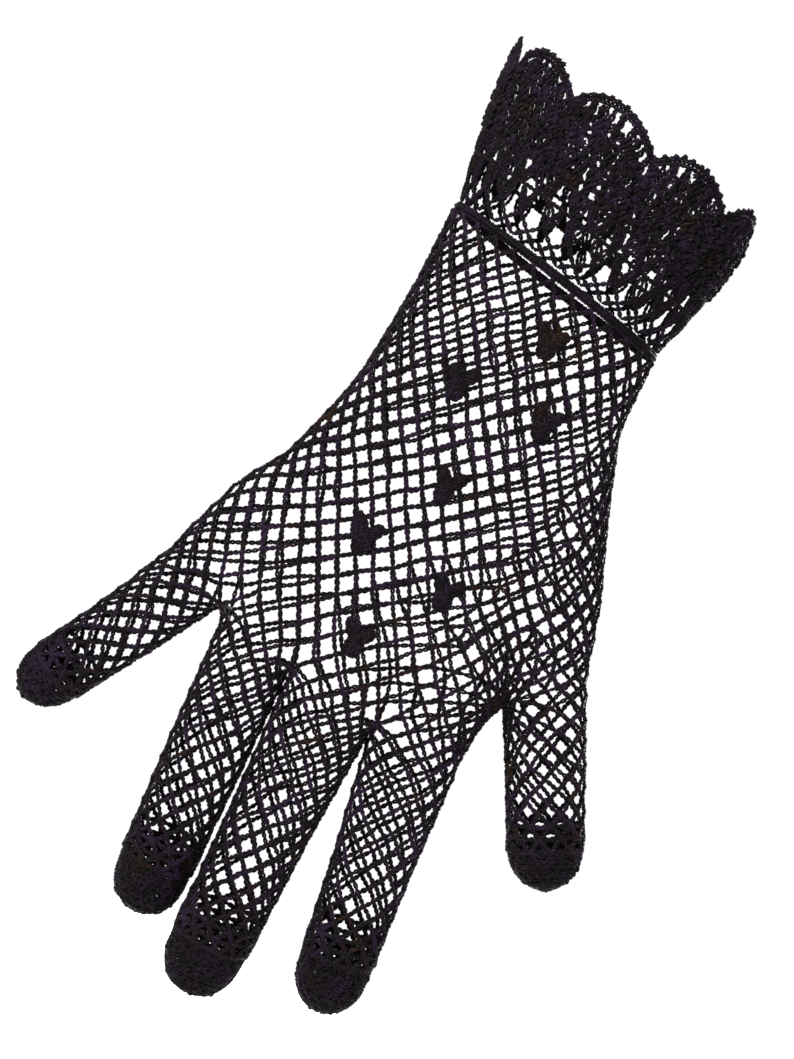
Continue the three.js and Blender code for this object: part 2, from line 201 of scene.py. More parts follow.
# %% [markdown]
# ## The hand as a field
# The palm, the thumb's mound and the finger roots flow into each other, with soft webs between
# the fingers. A field makes that easy: it is negative inside the hand, zero on its skin and
# grows outside. A smooth minimum of several simple fields is one soft skin, and a point is put
# on it by stepping along the field's slope.

# %% Palm, mound and their smooth union
PALM_POWER = 2.3
PALM_MID_X = -5.0
SKIN_BLEND = 7.0
WRIST_IN = 18.0          # the first station, below the top of the hand's net
WEB_RISE = 14.0          # the last station, above the finger roots
EDGE_LIMIT = -128.0      # the little finger's edge is not measured below this
STATIONS = 14
FAR, FAR_SIDE = 80.0, 150.0      # rays start this far out, in depth and sideways
PALM_END = np.array([-12.0, 2.0, 0.0, 0.0, 0.0])     # the last step, inside the finger roots
PALM_END_SIZE = [0.62, 0.45]
MOUND_REACH = np.array([-78.0, -58.0, -40.0, -22.0, -4.0, 0.0])
MOUND_SHIFT = np.array([5.0, 4.5, 4.0, 2.5, 0.0, 0.0])
MOUND_WIDTH = np.array([13.0, 17.5, 16.5, 15.0, 11.4, 11.0])

hand_points = node_points("hand_net")
hand_faces = [tuple(p.vertices) for p in frame["nodes"]["hand_net"].data.polygons]
hand_tree = BVHTree.FromPolygons([tuple(p) for p in hand_points], hand_faces)


def first_hit(start, direction):
    """Where a ray from outside first meets the hand's skin, or None."""
    place = hand_tree.ray_cast(Vector(start), Vector(direction))[0]
    return None if place is None else np.array(place)


def measure_palm():
    """Stations of the palm, from the knuckles up: height, middle x and y, half width and depth."""
    wrist_z = float(hand_points[:, 2].max()) - WRIST_IN
    root_z = tubes["ring"]["centre"][np.searchsorted(tubes["ring"]["s"], ROOT_REACH)][2]
    stations = np.linspace(wrist_z, root_z + WEB_RISE, STATIONS)
    back = [first_hit((PALM_MID_X, -FAR, z), (0, 1, 0))[1] for z in stations]
    front = [first_hit((PALM_MID_X, FAR, z), (0, -1, 0))[1] for z in stations]
    edge_z = np.maximum(stations, EDGE_LIMIT)
    left = [first_hit((-FAR_SIDE, 1, z), (1, 0, 0))[0] for z in edge_z]
    right_wrist = first_hit((FAR_SIDE, 1, wrist_z + 2), (-1, 0, 0))[0]
    index = tubes["index"]
    right_root = index["centre"][20][0] + index["width"][20]
    right = np.interp(stations, [root_z, wrist_z], [right_root, right_wrist])
    back, front, left = np.array(back), np.array(front), np.array(left)
    middle_x, middle_y = (left + right) / 2, (back + front) / 2
    table = np.stack([stations, middle_x, middle_y, (right - left) / 2, (front - back) / 2], 1)
    end = table[-1] + PALM_END
    end[3:] *= PALM_END_SIZE
    return np.vstack([table, end])[::-1]


palm = measure_palm()
thumb_root = along_tube(tubes["thumb"], np.array(ROOT_REACH), "centre")
thumb_along = along_tube(tubes["thumb"], np.array(ROOT_REACH), "along")


def measure_mound():
    """The thumb's mound as a tube from inside the palm to the thumb's root."""
    reach = np.linspace(MOUND_REACH[0], 0, SAMPLES)
    centre = thumb_root + reach[:, None] * thumb_along
    centre[:, 1] -= np.interp(reach, MOUND_REACH, MOUND_SHIFT)
    thumb = tubes["thumb"]
    return dict(centre=centre, across=thumb["across"], back=np.tile(thumb["back"][0], (SAMPLES, 1)),
                along=np.tile(thumb_along, (SAMPLES, 1)),
                width=np.interp(reach, MOUND_REACH, MOUND_WIDTH), dome=np.ones(SAMPLES))


mound = measure_mound()
FINGERS = ["index", "middle", "ring", "little"]


def palm_field(points):
    """(|x/a|^p + |y/b|^p)^(1/p) - 1, times b: a squarish oval whose size follows z."""
    cx, cy, a, b = (np.interp(points[:, 2], palm[:, 0], palm[:, k]) for k in (1, 2, 3, 4))
    u, v = np.abs((points[:, 0] - cx) / a), np.abs((points[:, 1] - cy) / b)
    return ((u ** PALM_POWER + v ** PALM_POWER) ** (1 / PALM_POWER) - 1) * b


def soft_min(a, b, reach):
    """The smaller of two fields, rounded off where they are within `reach` of each other."""
    mix = np.maximum(reach - np.abs(a - b), 0) / reach
    return np.minimum(a, b) - mix ** 2 * reach / 4


def hand_field(points, with_thumb=True):
    """The skin of the whole hand: palm, finger roots, and the mound with the thumb."""
    field = palm_field(points)
    for name in FINGERS:
        field = soft_min(field, tube_field(points, tubes[name])[0], SKIN_BLEND)
    if with_thumb:
        bulge = np.minimum(tube_field(points, mound)[0], tube_field(points, tubes["thumb"])[0])
        field = soft_min(field, bulge, SKIN_BLEND)
    return field


def slope_of(points, field, reach=0.4):
    """The field's gradient, from differences over a short step each way."""
    steps = np.eye(3) * reach
    return np.stack([(field(points + d) - field(points - d)) / (2 * reach) for d in steps], 1)


print("palm stations", len(palm), "widest", round(2 * palm[:, 3].max(), 1), "mm")

# %% [markdown]
# ## The diamond net
# The net is worked in rounds. Each round's knots hang between two knots of the round above,
# which makes diamonds. A thumb gusset adds knots on the thumb's side, round by round, then the
# thumb's knots leave the round and close on themselves. Further down the round divides into
# four fingers in the same way. Only the connections are decided here.

# %% Rounds of knots
WRIST_KNOTS = 28
PALM_ROUNDS = 33
THUMB_ROUND = 27
GUSSET_FIRST, GUSSET_LAST = 5, 27
THUMB_KNOTS = 10
BRIDGE_REACH = 4.0       # how far towards the thumb the bridging knot lies
HALF_ROW = 3.35          # the height from one round to the next
CLOSE_ROUNDS = 3         # the last rounds of a finger, closed up by a strand round it
knots, strands = [], []          # knots hold their first place, strands two knot numbers
knot_group = []


def add_knot(place, group):
    """Writes down a knot of the hand or of a finger, and gives its number."""
    knots.append(np.asarray(place, float))
    knot_group.append(group)
    return len(knots) - 1


def next_round(ring, places, group, extra=None):
    """The round below `ring`: one knot between each two, and one more under knot `extra`."""
    new, number = [], 0
    for j, knot in enumerate(ring):
        if extra == j:
            new.append(add_knot(places[number], group))
            strands.append((knot, new[-1]))
            number += 1
        new.append(add_knot(places[number], group))
        strands.append((knot, new[-1]))
        strands.append((ring[(j + 1) % len(ring)], new[-1]))
        number += 1
    return new


ridge_low, ridge_high = (np.array(v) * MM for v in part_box("wrist_ridge"))
LEAN = math.tan(math.radians(11.3))      # how the ridge falls towards the thumb
wrist_x = (ridge_low[0] + ridge_high[0]) / 2
ridge_z = (ridge_low[2] + ridge_high[2]) / 2
FIRST_DROP = 1.6
root_places = [along_tube(tubes[n], np.array(ROOT_REACH), "centre") for n in FINGERS]
web_x = [(root_places[i][0] + root_places[i + 1][0]) / 2 for i in range(3)]
CROTCH_X = [-56.0, web_x[2], web_x[1], web_x[0], 34.0]
CROTCH_Z = [-141.0, -150.0, -156.0, -161.0, -158.0]


def level_z(x, share):
    """The height of a round at sideways place x: from the leaning ridge to the knuckles."""
    top = ridge_z - FIRST_DROP - LEAN * (x - wrist_x)
    return top + (np.interp(x, CROTCH_X, CROTCH_Z) - top) * share


RAYS, HALVINGS = 121, 16
NEAREST, FARTHEST = 5.0, 95.0


def round_places(share, count, shift, with_thumb):
    """`count` places spaced evenly round the hand at one level, found by halving along rays."""
    angle = np.pi + np.linspace(0, 2 * np.pi, RAYS)
    mid_z = level_z(PALM_MID_X, share)
    centre = np.array([np.interp(mid_z, palm[:, 0], palm[:, 1]), 1.0])
    low, high = np.full(RAYS, NEAREST), np.full(RAYS, FARTHEST)
    for _ in range(HALVINGS):
        r = (low + high) / 2
        x, y = centre[0] + r * np.cos(angle), centre[1] + r * np.sin(angle)
        inside = hand_field(np.stack([x, y, level_z(x, share)], 1), with_thumb) < 0
        low, high = np.where(inside, r, low), np.where(inside, high, r)
    line = np.stack([x, y, level_z(x, share)], 1)
    steps = run_along(line)
    at = ((np.arange(count) + shift) % count) / count * steps[-1]
    return np.stack([np.interp(at, steps, line[:, k]) for k in range(3)], 1)


def work_hand():
    """Rounds from the ridge to the knuckles. Returns the last round and the thumb's first."""
    ring = [add_knot(p, "hand") for p in round_places(0, WRIST_KNOTS, 0, True)]
    first, thumb_ring = list(ring), None
    for k in range(1, PALM_ROUNDS + 1):
        shift, share = k / 2, k / PALM_ROUNDS
        count, extra = len(ring), None
        if GUSSET_FIRST <= k < GUSSET_LAST and (k - GUSSET_FIRST) % 2 == 0:
            grown = (k - GUSSET_FIRST) // 2
            side = 1 if grown % 2 else -1
            extra = int(round(count / 2 + side * (grown / 2 + 1) - shift)) % count
            count += 1
        places = round_places(share, count, shift, k <= THUMB_ROUND)
        ring = next_round(ring, places, "hand", extra)
        if k == THUMB_ROUND:
            ring, thumb_ring = leave_thumb(ring)
    return first, ring, thumb_ring


def leave_thumb(ring):
    """Takes the thumb's knots out of the round, and adds one knot that bridges the gap."""
    places = np.array([knots[n] for n in ring])
    middle = int(np.argmin(np.linalg.norm(places - thumb_root, axis=1)))
    turned = [ring[(middle - THUMB_KNOTS // 2 + j) % len(ring)] for j in range(len(ring))]
    own = turned[:THUMB_KNOTS]
    bridge = add_knot((knots[own[0]] + knots[own[-1]]) / 2 + thumb_along * BRIDGE_REACH, "hand")
    strands.extend([(own[0], bridge), (own[-1], bridge)])
    rest = [own[0], bridge] + turned[THUMB_KNOTS - 1:]
    first = rest.index(ring[0]) if ring[0] in rest else 0
    return rest[first:] + rest[:first], own + [bridge]


wrist_round, knuckle_round, thumb_round = work_hand()
print("hand", len(knots), "knots,", len(strands), "strands; last round", len(knuckle_round))

# %% [markdown]
# ## Four fingers from one round
# At the knuckles the last round is divided. A web knot hangs in each gap between two fingers,
# tied to the back and to the palm, and belongs to both fingers. Then each finger is a small
# round of its own and is worked downwards like the hand, until its dense tip begins.

# %% Divide the knuckle round into fingers
WEB_DROP = 5.5           # how far a web knot hangs below the knuckle round


def split_fingers(ring):
    """Each web takes the nearest knot of the back and of the palm, and a knot between them."""
    places = np.array([knots[n] for n in ring])
    start = int(np.argmin(places[:, 0]))
    order = ring[start:] + ring[:start]
    places = np.array([knots[n] for n in order])
    half = int(np.argmax(places[:, 0]))
    back = [int(np.argmin(np.abs(places[:half, 0] - x))) for x in web_x[::-1]]
    front = [half + int(np.argmin(np.abs(places[half:, 0] - x))) for x in web_x[::-1]]
    webs = []
    for b, f, x in zip(back, front, web_x[::-1]):
        web = (x, (places[b][1] + places[f][1]) / 2, level_z(x, 1) - WEB_DROP)
        webs.append(add_knot(web, "hand"))
        strands.extend([(order[b], webs[-1]), (order[f], webs[-1])])
    return {
        "little": order[front[0]:] + order[:back[0] + 1] + [webs[0]],
        "ring": order[back[0]:back[1] + 1] + [webs[1]] + order[front[1]:front[0] + 1] + [webs[0]],
        "middle": order[back[1]:back[2] + 1] + [webs[2]] + order[front[2]:front[1] + 1] + [webs[1]],
        "index": order[back[2]:front[2] + 1] + [webs[2]]}


def work_finger(name, ring):
    """Rounds down one finger to the edge of its dense tip. Returns the last round."""
    tube = tubes[name]
    places = np.array([knots[n] for n in ring])
    nearest = tube_field(places, tube)[1]
    offset = places - tube["centre"][nearest]
    u = (offset * tube["across"][nearest]).sum(1)
    v = (offset * tube["back"][nearest]).sum(1)
    angle = np.unwrap(np.arctan2(v / ROUNDNESS, u))
    turn = np.sign(angle[-1] - angle[0]) * 2 * np.pi / len(ring)
    start = np.mean(angle - turn * np.arange(len(ring)))
    s_start = np.mean(tube["s"][nearest])
    rounds = int(round((tube["cap_s"] - s_start) / HALF_ROW))
    for r in range(1, rounds + 1):
        s = s_start + (tube["cap_s"] - s_start) * r / rounds
        at = start + turn * (np.arange(len(ring)) + r / 2)
        ring = next_round(ring, tube_point(tube, np.full(len(ring), s), at)[0], name)
        if r > rounds - CLOSE_ROUNDS:
            strands.extend(zip(ring, ring[1:] + ring[:1]))
    return ring


finger_rounds = split_fingers(knuckle_round)
web_knots = sorted({ring[-1] for ring in finger_rounds.values()})
finger_rounds["thumb"] = thumb_round
edge_rounds = {name: work_finger(name, ring) for name, ring in finger_rounds.items()}
print({name: len(ring) for name, ring in edge_rounds.items()})
print(len(knots), "knots", len(strands), "strands")

# %% [markdown]
# ## Letting the net settle
# A net pulls itself even: each knot moves to the middle of the knots it is tied to, and is then
# put back on the skin. The wrist round, the web knots and the edges of the dense tips are held.
# A crocheter's tension is never quite even, so at the end each knot strays by about half a
# millimetre, and the strays are smoothed once so that neighbours lean together.

# %% Relax
SETTLE_STEPS = 70
STRAY = 0.5
OWN_STRAY = 0.6          # the share of a stray that a knot doesn't take from its neighbours
place = np.array(knots)
group = np.array(knot_group)
pair = np.array(strands)
held = np.zeros(len(place), bool)
held[wrist_round + web_knots] = True
for edge_round in edge_rounds.values():
    held[edge_round] = True
on_hand = (group == "hand") & ~held


def put_on_skin(points):
    """Hand knots step along the field's slope, finger knots move out from the centre line."""
    moved = points.copy()
    some = points[on_hand]
    slope = slope_of(some, hand_field)
    value = hand_field(some)
    step = value / np.maximum((slope ** 2).sum(1), 0.05)
    moved[on_hand] = some - np.clip(step, -4, 4)[:, None] * slope
    for name, tube in tubes.items():
        mine = (group == name) & ~held
        _, nearest, q = tube_field(points[mine], tube)
        centre, along = tube["centre"][nearest], tube["along"][nearest]
        offset = points[mine] - centre
        axial = (offset * along).sum(1, keepdims=True) * along
        moved[mine] = centre + axial + (offset - axial) / np.maximum(q, 0.2)[:, None]
    return moved


def pulled(points, share):
    """Each free knot moved by `share` of the way to the mean of the knots it is tied to."""
    total = np.zeros_like(points)
    count = np.zeros(len(points))
    for a, b in ((0, 1), (1, 0)):
        np.add.at(total, pair[:, a], points[pair[:, b]])
        np.add.at(count, pair[:, a], 1)
    mean = total / count[:, None]
    return np.where(held[:, None], points, points + share * (mean - points))


for step in range(SETTLE_STEPS):
    place = pulled(place, 0.5)
    if step % 3 == 2 or step > SETTLE_STEPS - 4:
        place = put_on_skin(place)
stray = rng.normal(0, STRAY, place.shape)
stray = OWN_STRAY * stray + (1 - OWN_STRAY) * pulled(stray, 1.0)
place = np.where(held[:, None], place, place + stray)
place = put_on_skin(put_on_skin(place))


def skin_normals():
    """Outward directions at the knots."""
    normal = np.zeros_like(place)
    hand = group == "hand"
    normal[hand] = unit(slope_of(place[hand], hand_field))
    for name, tube in tubes.items():
        mine = group == name
        nearest = tube_field(place[mine], tube)[1]
        offset = place[mine] - tube["centre"][nearest]
        axial = (offset * tube["along"][nearest]).sum(1, keepdims=True) * tube["along"][nearest]
        normal[mine] = unit(offset - axial)
    return normal


knot_normal = skin_normals()
length = np.linalg.norm(place[pair[:, 0]] - place[pair[:, 1]], axis=1)
print("strand length", np.round(np.percentile(length, [1, 25, 50, 75, 99]), 2), "mm")

# %% [markdown]
# ## Threads
# One thread is a thin tube along a line of points. Thousands of threads of the same number of
# points are made at once, as one array: a frame along each line, a ring of points round each
# point, and quads between the rings. A second pair of numbers goes with each corner, the
# distance along the thread and the turn round it, so that the finish can draw the thread's own
# ply, which winds round it.

# %% Tubes from lines, all at once
END_TAPER = 0.05         # what is left of the radius at an open end
SAME_PLACE = 0.05        # a line whose ends are nearer than this is a loop


def tubes_mesh(lines, normals, radii, sides, tone):
    """Tubes round lines of shape (count, points, 3); radii (count, points), tone (count,).

    Ring point = line + radius (cos(a) normal + sin(a) binormal), a = 0..2 pi. A line that comes
    back to its start is closed there, and any other tube is drawn to a point at both ends."""
    count, n = lines.shape[:2]
    along = unit(np.gradient(lines, axis=1))
    loop = np.linalg.norm(lines[:, 0] - lines[:, -1], axis=1) < SAME_PLACE
    along[loop, 0] = along[loop, -1] = unit(along[loop, 0] + along[loop, -1])
    radii = radii.copy()
    radii[~loop, 0] *= END_TAPER
    radii[~loop, -1] *= END_TAPER
    normal = unit(normals - (normals * along).sum(-1, keepdims=True) * along)
    side = np.cross(along, normal)
    angle = np.arange(sides) / sides * 2 * np.pi
    ring = np.cos(angle)[:, None] * normal[:, :, None] + np.sin(angle)[:, None] * side[:, :, None]
    points = (lines[:, :, None] + radii[:, :, None, None] * ring).reshape(-1, 3)
    i, j = np.meshgrid(np.arange(n - 1), np.arange(sides), indexing="ij")
    a, b = i * sides + j, i * sides + (j + 1) % sides
    quad = np.stack([a, b, b + sides, a + sides], -1).reshape(-1, 4)
    faces = (np.arange(count)[:, None, None] * n * sides + quad[None]).reshape(-1, 4)
    steps = np.linalg.norm(np.diff(lines, axis=1), axis=2)
    run = np.concatenate([np.zeros((count, 1)), np.cumsum(steps, axis=1)], 1)
    u = np.stack([run[:, i], run[:, i], run[:, i + 1], run[:, i + 1]], -1).reshape(-1)
    turn = np.stack([j, j + 1, j + 1, j], -1) / sides
    v = np.broadcast_to(turn[None], (count, *turn.shape)).reshape(-1)
    return points, faces, np.stack([u, v], 1), np.repeat(tone, n * sides)


def join(parts):
    """Several (points, faces, uv, tone) sets as one."""
    points, faces, uv, tone = zip(*parts)
    first = np.cumsum([0] + [len(p) for p in points[:-1]])
    faces = [f + number for f, number in zip(faces, first)]
    return tuple(np.concatenate(values) for values in (points, faces, uv, tone))


def piece(name, parts, material):
    """One mesh object in metres, smooth, with the thread's own uv and a tone at each corner."""
    points, faces, uv, tone = join(parts)
    mesh = bpy.data.meshes.new(name)
    mesh.vertices.add(len(points))
    mesh.vertices.foreach_set("co", (points / MM).ravel())
    mesh.loops.add(faces.size)
    mesh.loops.foreach_set("vertex_index", faces.ravel())
    mesh.polygons.add(len(faces))
    mesh.polygons.foreach_set("loop_start", np.arange(0, faces.size, 4))
    mesh.uv_layers.new(name="thread").uv.foreach_set("vector", uv.ravel())
    mesh.attributes.new("tone", "FLOAT", "POINT").data.foreach_set("value", tone)
    mesh.polygons.foreach_set("use_smooth", np.ones(len(faces), bool))
    mesh.materials.append(material)
    mesh.update()
    mesh.validate()
    obj = bpy.data.objects.new(name, mesh)
    bpy.context.scene.collection.objects.link(obj)
    print(name, len(faces) * 2, "triangles")
    return obj


# %% [markdown]
# ## Strands and knots
# A strand is two plies of thread that wind round each other between two knots, and close up as
# they enter a knot. A knot is drawn as short wraps that cross over the place, because at this
# size the eye sees only a small lump with a few directions in it.

# %% Strands and knots
PLY_RADIUS = 0.36
STRAND_SIDES = 5
STRAND_POINTS = 11
END_SHARE, END_SPREAD = 0.16, 0.45       # near its ends a strand is this narrow
PHASE_SPREAD, BOW_SPREAD, RADIUS_SPREAD = 0.5, 0.14, 0.06
WRAP_ANGLES = (-0.62, 0.62, 1.57)
WRAP_POINTS = 5
WRAP_REACH = 1.12        # of the knot's size
WRAP_GAUGE = 1.22        # of the ply's radius


def strand_lines(a, b, na, nb, spread, lift, twists, phase, bow):
    """Two plies between points a and b, each winding round the middle line.

    Ply offset = spread cos(t) sideways + lift sin(t) outward, t = phase + 2 pi twists s, where s
    runs 0..1 along the strand and the second ply is half a turn on."""
    s = np.linspace(0, 1, STRAND_POINTS)[None, :, None]
    normal = unit(na[:, None] * (1 - s) + nb[:, None] * s)
    chord = unit(b - a)[:, None]
    side = unit(np.cross(normal, chord))
    sag = np.sin(np.pi * s)
    middle = a[:, None] * (1 - s) + b[:, None] * s + sag * bow[:, None, None] * side
    ends = np.clip(np.minimum(s, 1 - s) / END_SHARE, 0, 1)
    reach = spread * (END_SPREAD + (1 - END_SPREAD) * ends)
    lines = []
    for half in (0, 1):
        t = phase[:, None, None] + np.pi * half + 2 * np.pi * twists * s
        lines.append(middle + reach * np.cos(t) * side + lift * np.sin(t) * normal)
    return np.concatenate(lines), np.concatenate([normal, normal])


def strands_mesh(a, b, na, nb, radius=PLY_RADIUS, spread=0.37, lift=0.22, twists=1.5):
    """All the strands between the places a and b."""
    count = len(a)
    phase, bow = rng.uniform(-PHASE_SPREAD, PHASE_SPREAD, count), rng.normal(0, BOW_SPREAD, count)
    lines, normals = strand_lines(a, b, na, nb, spread, lift, twists, phase, bow)
    radius = np.tile(radius + np.zeros(count), 2)[:, None]
    radii = radius * (1 + RADIUS_SPREAD * rng.normal(size=(len(lines), 1))) * np.ones(STRAND_POINTS)
    return tubes_mesh(lines, normals, radii, STRAND_SIDES, rng.uniform(0, 1, len(lines)))


def knots_mesh(at, normal, size=0.86):
    """Three short wraps that cross over the place `at`, each an arch 1 - t^2 over the strands."""
    count, parts = len(at), []
    down = unit(np.cross(normal, np.tile([1.0, 0, 0], (count, 1))))
    for wrap, turn in enumerate(WRAP_ANGLES):
        angle = turn + rng.normal(0, 0.16, count)
        side = np.cross(down, normal)
        way = np.cos(angle)[:, None] * down + np.sin(angle)[:, None] * side
        t = np.linspace(-WRAP_REACH, WRAP_REACH, WRAP_POINTS)[None, :, None]
        arch = (1 - t ** 2) * (0.42 - 0.1 * wrap) - 0.14
        lines = at[:, None] + size * t * way[:, None] + arch * normal[:, None]
        normals = np.broadcast_to(normal[:, None], lines.shape)
        radii = PLY_RADIUS * WRAP_GAUGE * np.ones((count, WRAP_POINTS))
        parts.append(tubes_mesh(lines, normals, radii, STRAND_SIDES, rng.uniform(0, 1, count)))
    return join(parts)


# %% [markdown]
# ## Mercerised cotton
# The thread is black cotton that has been treated so that it shines a little. Black cotton is
# never quite black: the dye leaves brown and purple tints that change from place to place, and
# each strand takes them a little differently. The thread's plies are drawn by slanting lines
# that wind round it, and they only lift the surface, because a real ply is a shadow and not a
# colour. The reflection is weak and fairly sharp, which gives small glints on a deep black, and
# a trace of sheen stands for the cotton's short fibres.

# %% Node helpers and the thread's finish
def linear(hex_colour):
    """An sRGB colour such as '1b171c' as the linear numbers that a shader takes."""
    parts = [int(hex_colour[k:k + 2], 16) / 255 for k in (0, 2, 4)]
    return [p / 12.92 if p <= 0.04045 else ((p + 0.055) / 1.055) ** 2.4 for p in parts] + [1.0]


def add(tree, kind, inputs=None, **settings):
    """Adds a node, sets its properties, and sets or links its inputs."""
    node = tree.nodes.new(kind)
    for key, value in settings.items():
        setattr(node, key, value)
    for key, value in (inputs or {}).items():
        if isinstance(value, bpy.types.NodeSocket):
            tree.links.new(value, node.inputs[key])
        else:
            node.inputs[key].default_value = value
    return node


DRIFT_SIZE = 8.0         # millimetres from one tint to the next
TONE_SHARE = 0.3         # how much a strand's own tone moves it along the tints
GROOVE_DEPTH = 0.2       # millimetres between two plies
SHEEN, SHEEN_SPREAD, GLOSS = 0.002, 0.45, 0.02


def cotton(name, tints, roughness, ply_pitch):
    """Black mercerised cotton. Tints drift over DRIFT_SIZE, each strand is a little lighter or
    darker, and the ply lines repeat every `ply_pitch` millimetres along the thread."""
    material = bpy.data.materials.new(name)
    material.use_nodes = True
    tree = material.node_tree
    tree.nodes.clear()
    place_node = add(tree, "ShaderNodeTexCoord")
    drift = add(tree, "ShaderNodeTexNoise", {
        "Vector": place_node.outputs["Object"], "Scale": MM / DRIFT_SIZE, "Detail": 3.0})
    tone = add(tree, "ShaderNodeAttribute", attribute_name="tone")
    mixed = add(tree, "ShaderNodeMath", {
        0: tone.outputs["Fac"], 1: TONE_SHARE, 2: drift.outputs["Fac"]}, operation="MULTIPLY_ADD")
    ramp = add(tree, "ShaderNodeValToRGB", {"Fac": mixed.outputs[0]})
    stops = ramp.color_ramp.elements
    for number, (position, tint) in enumerate(tints):
        stop = stops[number] if number < 2 else stops.new(position)
        stop.position, stop.color = position, linear(tint)
    uv = add(tree, "ShaderNodeUVMap", uv_map="thread")
    parts = add(tree, "ShaderNodeSeparateXYZ", {"Vector": uv.outputs["UV"]})
    run = add(tree, "ShaderNodeMath", {
        0: parts.outputs["X"], 1: 1 / ply_pitch, 2: parts.outputs["Y"]}, operation="MULTIPLY_ADD")
    groove = add(tree, "ShaderNodeMath", {0: run.outputs[0], 1: 0.5}, operation="PINGPONG")
    bump = add(tree, "ShaderNodeBump", {
        "Height": groove.outputs[0], "Strength": 0.8, "Distance": GROOVE_DEPTH / MM})
    shader = add(tree, "ShaderNodeBsdfPrincipled", {
        "Base Color": ramp.outputs["Color"], "Roughness": roughness, "Normal": bump.outputs["Normal"],
        "Sheen Weight": SHEEN, "Sheen Roughness": SHEEN_SPREAD, "Specular IOR Level": GLOSS})
    add(tree, "ShaderNodeOutputMaterial", {"Surface": shader.outputs["BSDF"]})
    return material


NET_TINTS = [(0.36, "130906"), (0.5, "070505"), (0.64, "060506"), (0.82, "110914")]
DENSE_TINTS_WITH_PAINTED_SHADE = [(0.36, "100806"), (0.5, "060405"), (0.64, "050405"), (0.82, "0e0811")]
# The net's thread is drawn tight, so its tints show most. The dense stitches shade each other,
# and their tints, which the cord takes too, are darkened to paint in that shade. The cord is wound
# from thicker plies, so its lines are further apart.
net_cotton = cotton("black mercerised cotton", NET_TINTS, 0.37, 1.15)
dense_cotton = cotton("black cotton, dense stitches, with painted shade", DENSE_TINTS_WITH_PAINTED_SHADE, 0.38, 1.15)
cord_cotton = cotton("black cotton, corded, with painted shade", DENSE_TINTS_WITH_PAINTED_SHADE, 0.36, 1.6)
print("cottons", [m.name for m in (net_cotton, dense_cotton, cord_cotton)])


# %% [markdown]
# ## The net as pieces
# The net over the hand is one cloth, but it is kept in a few pieces so that none grows too
# large. Each finger's net is one piece to a joint, and the pieces are cut halfway between the end
# of one joint's zone and the start of the next. BLENDS says where a zone starts and ends, from the hinge.

# %% Share the strands out
middle_of = (place[pair[:, 0]] + place[pair[:, 1]]) / 2
strand_group = np.where(group[pair[:, 0]] == group[pair[:, 1]], group[pair[:, 0]], "")
for name in SECTIONS:
    ends = group[pair] == name
    strand_group[ends[:, 0] != ends[:, 1]] = name


def net_piece(name, strand_mask, knot_mask, radius=PLY_RADIUS):
    """One piece of net from some of the strands and some of the knots."""
    a, b = pair[strand_mask, 0], pair[strand_mask, 1]
    net = strands_mesh(place[a], place[b], knot_normal[a], knot_normal[b], radius=radius)
    ties = knots_mesh(place[knot_mask], knot_normal[knot_mask])
    return piece(name, [net, ties], net_cotton)


HAND_PIECES = 4
TIP_FADE = 13.0          # the strands thicken over this length before a dense tip
TIP_SWELL = 0.45         # by this share
BLENDS = {"root": (0.0, 14.0), "mid": (-7.0, 7.0), "tip": (-5.0, 5.0)}
SHORT_BLENDS = {"root": (0.0, 11.0), "mid": (-5.0, 6.0), "tip": (-5.0, 5.0)}
shown = {}
hand_strands, hand_knots = strand_group == "hand", (group == "hand")
cuts = np.quantile(middle_of[hand_strands, 2], np.linspace(0, 1, HAND_PIECES + 1))
cuts[0], cuts[-1] = -1e3, 1e3
for k in range(HAND_PIECES):
    some = hand_strands & (middle_of[:, 2] > cuts[k]) & (middle_of[:, 2] <= cuts[k + 1])
    ties = hand_knots & (place[:, 2] > cuts[k]) & (place[:, 2] <= cuts[k + 1])
    obj = net_piece(f"palm_lace_{k + 1}", some, ties)
    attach(obj, "hand")
    shown.setdefault("hand_net", []).append(obj)


def s_on_tube(points, tube):
    """The distance along a finger's centre line nearest each point."""
    return tube["s"][tube_field(points, tube)[1]]


def finger_pieces(name):
    """A finger's net in one piece for each joint, cut halfway between the joints' zones."""
    tube = tubes[name]
    strand_s, knot_s = s_on_tube(middle_of, tube), s_on_tube(place, tube)
    blends = SHORT_BLENDS if name == "little" else BLENDS
    zones = [[hinge + reach for reach in blends[part]]
             for hinge, part in zip(tube["joint_s"], tube["parts"])]
    edges = [(above[1] + below[0]) / 2 for above, below in zip(zones, zones[1:])]
    edges = [-1e3, *edges, 1e3]
    for i, part in enumerate(tube["parts"]):
        some = (strand_group == name) & (strand_s > edges[i]) & (strand_s <= edges[i + 1])
        ties = (group == name) & (knot_s > edges[i]) & (knot_s <= edges[i + 1])
        close = np.clip(1 - (tube["cap_s"] - strand_s[some]) / TIP_FADE, 0, 1)
        obj = net_piece(f"{name}_{part}_lace", some, ties, PLY_RADIUS * (1 + TIP_SWELL * close))
        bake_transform(obj)
        shown.setdefault(f"{name}_{part}_net", []).append(obj)


for name in SECTIONS:
    finger_pieces(name)

# %% [markdown]
# ## Dense fingertips
# Each fingertip is closed with tight rows of stitches, worked round and round to the very tip.
# A row is a rope of two threads. The rope's twist turns the other way in each next row, which
# gives the chevrons of close crochet, and the rows are near enough to hide what lies behind.
# Small knots and rounds of small diamonds lie over the rows, so the open net closes little by
# little and the tip is nubby and not smooth.

# %% Ropes and fingertips
ROPE_RADIUS = 0.38
ROW_PITCH = 1.34         # along the skin from one row to the next
ROW_STEP = 0.6           # round the row from one point to the next
ROW_WOBBLE = 0.13
KNOT_EVERY = 9           # one point in so many has a knot
MESH_PITCH = 2.5         # along the skin from one round of diamonds to the next
MESH_WIDTH = 3.6
MESH_RISE = 0.25         # above the rows
TIP_INSET = 0.5          # the rows lie this far under the skin at their edge
TIP_TAPER = 1.1          # and this much further under it at the pole


